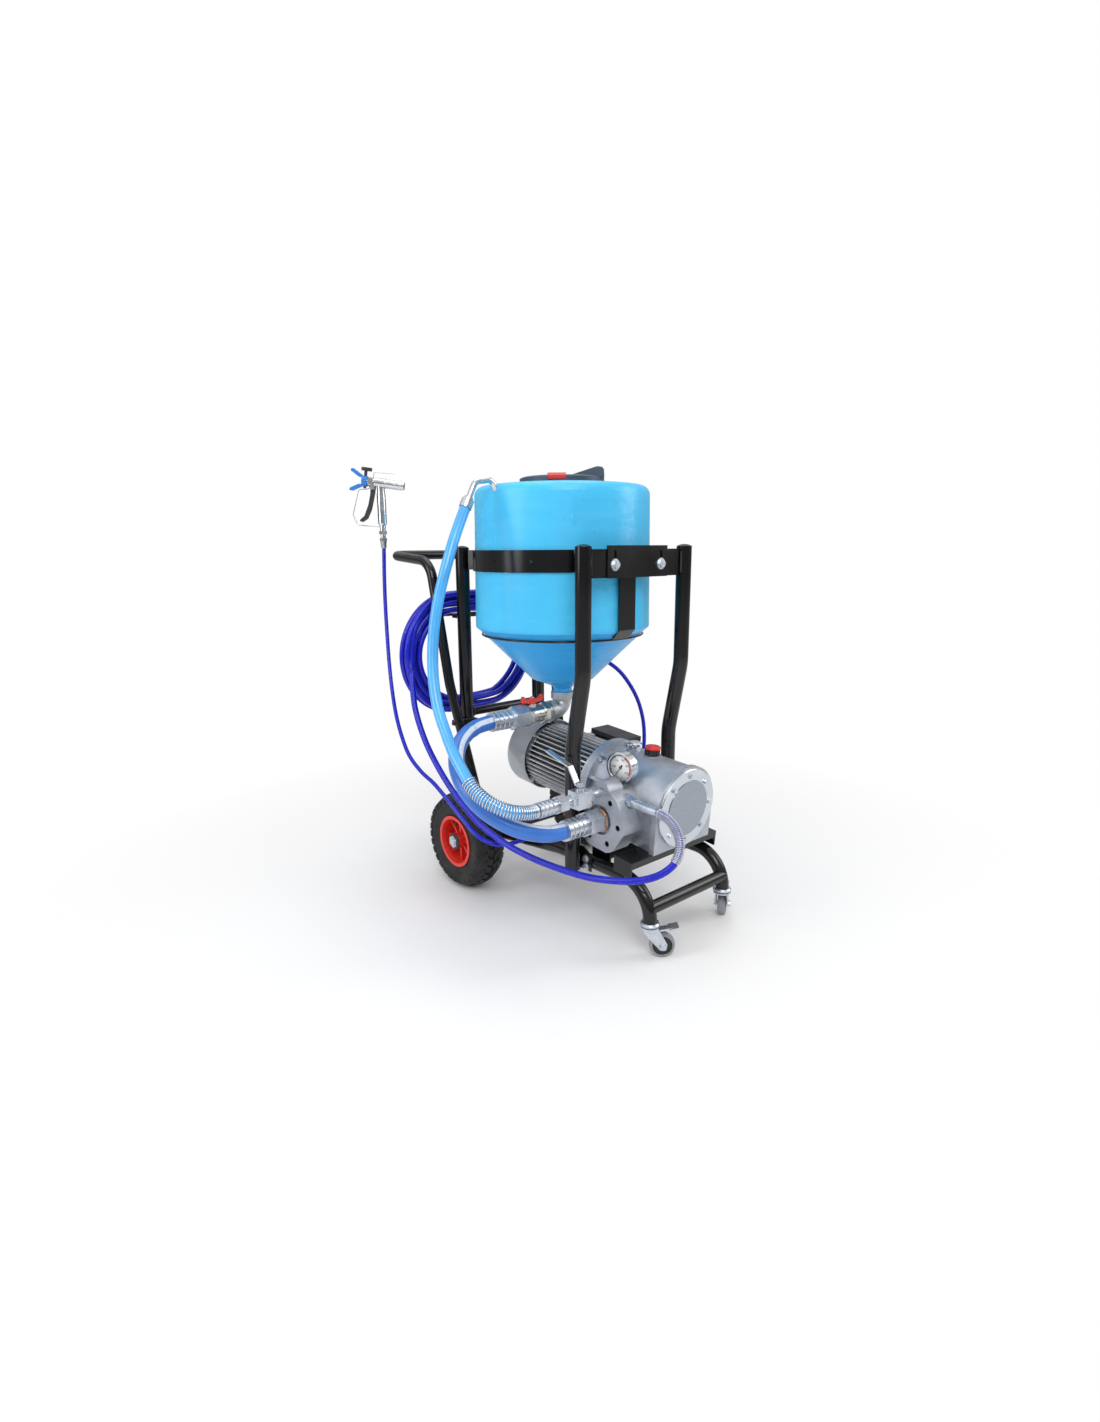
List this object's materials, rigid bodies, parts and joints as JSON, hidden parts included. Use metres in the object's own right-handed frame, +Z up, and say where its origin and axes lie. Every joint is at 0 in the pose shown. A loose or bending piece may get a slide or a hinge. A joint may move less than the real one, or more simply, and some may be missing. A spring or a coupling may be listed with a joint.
{
  "type": "airless paint sprayer",
  "caption": "Wheeled airless paint sprayer: electric pump under a cone-bottomed tank in a tube frame, with suction and return lines, coiled hose and spray gun.",
  "frame": {"origin": "on the floor under the tank's axis, at the frame datum", "axes": "+Z up along the tank's axis, front with the pump towards -Y, suction side towards -X"},
  "size_m": [0.7396, 1.1552, 1.1285],
  "materials": {
    "black_powder_coat": "gloss black powder coat",
    "zinc_plate": "bright zinc plate",
    "galvanised_iron": "galvanised malleable iron",
    "nickel_brass": "nickel-plated brass, slightly dull",
    "bright_steel": "bright steel",
    "cast_aluminium": "as cast, painted silver grey",
    "machined_aluminium": "machined",
    "grey_paint": "silver-grey paint",
    "black_plastic": "satin",
    "blue_plastic": "moulded",
    "tank_plastic": "rotomoulded polyethylene, slightly translucent",
    "lid_plastic": "moulded",
    "red_plastic": "moulded",
    "red_enamel": "enamel",
    "suction_hose_cover": "smooth blue cover with a white stripe",
    "return_hose_cover": "smooth light blue cover",
    "pressure_hose_cover": "glossy royal blue cover",
    "tyre_rubber": "block tread",
    "grey_rubber": "smooth",
    "diaphragm_rubber": "reinforced"
  },
  "bodies": {
    "chassis": {"posts": "black_powder_coat", "base_rails": "black_powder_coat", "handle": "black_powder_coat", "axle": "zinc_plate", "brackets": "black_powder_coat", "hoop": "black_powder_coat", "front_plate": "black_powder_coat", "slide_plate": "black_powder_coat", "retaining_ring": "black_powder_coat", "hose_hook": "black_powder_coat", "frame_bolts": "zinc_plate", "caster_tops": "zinc_plate", "tank": "tank_plastic", "lid_ring": "lid_plastic", "return_spout": "bright_steel", "elbow": "galvanised_iron", "suction_valve_body": "nickel_brass", "hose_ends": "zinc_plate", "suction_hose": "suction_hose_cover", "return_hose": "return_hose_cover", "spring_guards": "zinc_plate", "return_valve_body": "zinc_plate", "motor_housing": "cast_aluminium", "fan_cowl": "grey_paint", "terminal_box": "black_plastic", "crankcase": "cast_aluminium", "front_cover": "machined_aluminium", "cap_screws": "zinc_plate", "diaphragm": "diaphragm_rubber", "pump_head": "cast_aluminium", "gauge_case": "bright_steel", "pressure_hose": "pressure_hose_cover", "hose_coil": "pressure_hose_cover", "whip_hose": "pressure_hose_cover", "gun_body": "bright_steel"},
    "wheel_left": {"tyre_left": "tyre_rubber", "rim_left": "red_plastic"},
    "wheel_right": {"tyre_right": "tyre_rubber", "rim_right": "red_plastic"},
    "caster_left": {"caster_fork_left": "zinc_plate"},
    "caster_right": {"caster_fork_right": "zinc_plate"},
    "caster_wheel_left": {"caster_wheel_left": "grey_rubber"},
    "caster_wheel_right": {"caster_wheel_right": "grey_rubber"},
    "pedal_left": {"caster_brake_left": "zinc_plate"},
    "pedal_right": {"caster_brake_right": "zinc_plate"},
    "suction_valve": {"suction_valve_ball": "nickel_brass", "suction_valve_handle": "red_enamel"},
    "return_valve": {"return_valve_lever": "zinc_plate"},
    "lid": {"tank_lid": "lid_plastic"},
    "latch": {"lid_latch": "red_plastic"},
    "trigger": {"gun_trigger": "black_plastic"},
    "guard": {"tip_guard": "blue_plastic"},
    "tip": {"spray_tip": "black_plastic"},
    "rotor": {"motor_rotor": "bright_steel", "cooling_fan": "black_plastic", "eccentric": "bright_steel"},
    "plunger": {"piston": "bright_steel"},
    "pointer": {"gauge_pointer": "black_plastic"},
    "filler_cap": {"oil_cap": "black_plastic"},
    "knob": {"pressure_knob": "bright_steel"}
  },
  "joints": [
    {"name": "left_wheel_spin", "type": "hinge", "parent": "chassis", "child": "wheel_left", "pos_m": [-0.221, 0.15, 0.13], "axis": [1, 0, 0], "continuous": true},
    {"name": "right_wheel_spin", "type": "hinge", "parent": "chassis", "child": "wheel_right", "pos_m": [0.221, 0.15, 0.13], "axis": [1, 0, 0], "continuous": true},
    {"name": "left_caster_swivel", "type": "hinge", "parent": "chassis", "child": "caster_left", "pos_m": [-0.132, -0.439, 0.07], "axis": [0, 0, 1], "continuous": true},
    {"name": "left_caster_wheel_spin", "type": "hinge", "parent": "caster_left", "child": "caster_wheel_left", "pos_m": [-0.11077, -0.45726, 0.029], "axis": [0.6521, 0.7581, 0], "continuous": true},
    {"name": "left_brake_pedal", "type": "hinge", "parent": "caster_left", "child": "pedal_left", "pos_m": [-0.12214, -0.44748, 0.0625], "axis": [0.6521, 0.7581, 0], "range_deg": [0, 8]},
    {"name": "right_caster_swivel", "type": "hinge", "parent": "chassis", "child": "caster_right", "pos_m": [0.132, -0.439, 0.07], "axis": [0, 0, 1], "continuous": true},
    {"name": "right_caster_wheel_spin", "type": "hinge", "parent": "caster_right", "child": "caster_wheel_right", "pos_m": [0.15575, -0.42416, 0.029], "axis": [-0.5299, 0.848, 0], "continuous": true},
    {"name": "right_brake_pedal", "type": "hinge", "parent": "caster_right", "child": "pedal_right", "pos_m": [0.14302, -0.43211, 0.0625], "axis": [-0.5299, 0.848, 0], "range_deg": [0, 8]},
    {"name": "suction_valve_turn", "type": "hinge", "parent": "chassis", "child": "suction_valve", "pos_m": [-0.105, 0, 0.482], "axis": [0, 0, 1], "range_deg": [0, 90]},
    {"name": "return_valve_turn", "type": "hinge", "parent": "chassis", "child": "return_valve", "pos_m": [-0.21, -0.2924, 0.353], "axis": [0, 0, 1], "range_deg": [0, 90]},
    {"name": "lid_hinge", "type": "hinge", "parent": "chassis", "child": "lid", "pos_m": [0.07304, 0.08491, 1.064], "axis": [-0.7581, 0.6521, 0], "range_deg": [0, 105]},
    {"name": "latch_flip", "type": "hinge", "parent": "lid", "child": "latch", "pos_m": [-0.0613, -0.07126, 1.0746], "axis": [-0.7581, 0.6521, 0], "range_deg": [0, 60]},
    {"name": "trigger_pull", "type": "hinge", "parent": "chassis", "child": "trigger", "pos_m": [-0.22468, 0.56135, 1.076], "axis": [-0.6521, -0.7581, 0], "range_deg": [0, 14], "stiffness_Nm_per_rad": 0.6, "springref_deg": -11.46},
    {"name": "tip_guard_turn", "type": "hinge", "parent": "chassis", "child": "guard", "pos_m": [-0.24103, 0.57541, 1.09212], "axis": [-0.7508, 0.6457, 0.1392], "range_deg": [-90, 90]},
    {"name": "spray_tip_turn", "type": "hinge", "parent": "guard", "child": "tip", "pos_m": [-0.24103, 0.57541, 1.09212], "axis": [-0.1055, 0.0907, -0.9903], "range_deg": [0, 180]},
    {"name": "motor_spin", "type": "hinge", "parent": "chassis", "child": "rotor", "pos_m": [0.017, -0.11014, 0.32515], "axis": [0, 0.9962, 0.0872], "continuous": true},
    {"name": "piston_stroke", "type": "slide", "parent": "chassis", "child": "plunger", "axis": [-1, 0, 0], "range_m": [-0.012, 0]},
    {"name": "gauge_needle", "type": "hinge", "parent": "chassis", "child": "pointer", "pos_m": [-0.09, -0.299, 0.4015], "axis": [0.9903, 0.1392, 0], "range_deg": [0, 270]},
    {"name": "filler_cap_turn", "type": "hinge", "parent": "chassis", "child": "filler_cap", "pos_m": [0.02, -0.30043, 0.41189], "axis": [0, -0.0872, 0.9962], "range_deg": [0, 360]},
    {"name": "pressure_knob_turn", "type": "hinge", "parent": "chassis", "child": "knob", "pos_m": [0.02, -0.24321, 0.41188], "axis": [0, -0.0872, 0.9962], "range_deg": [-300, 0]}
  ]
}
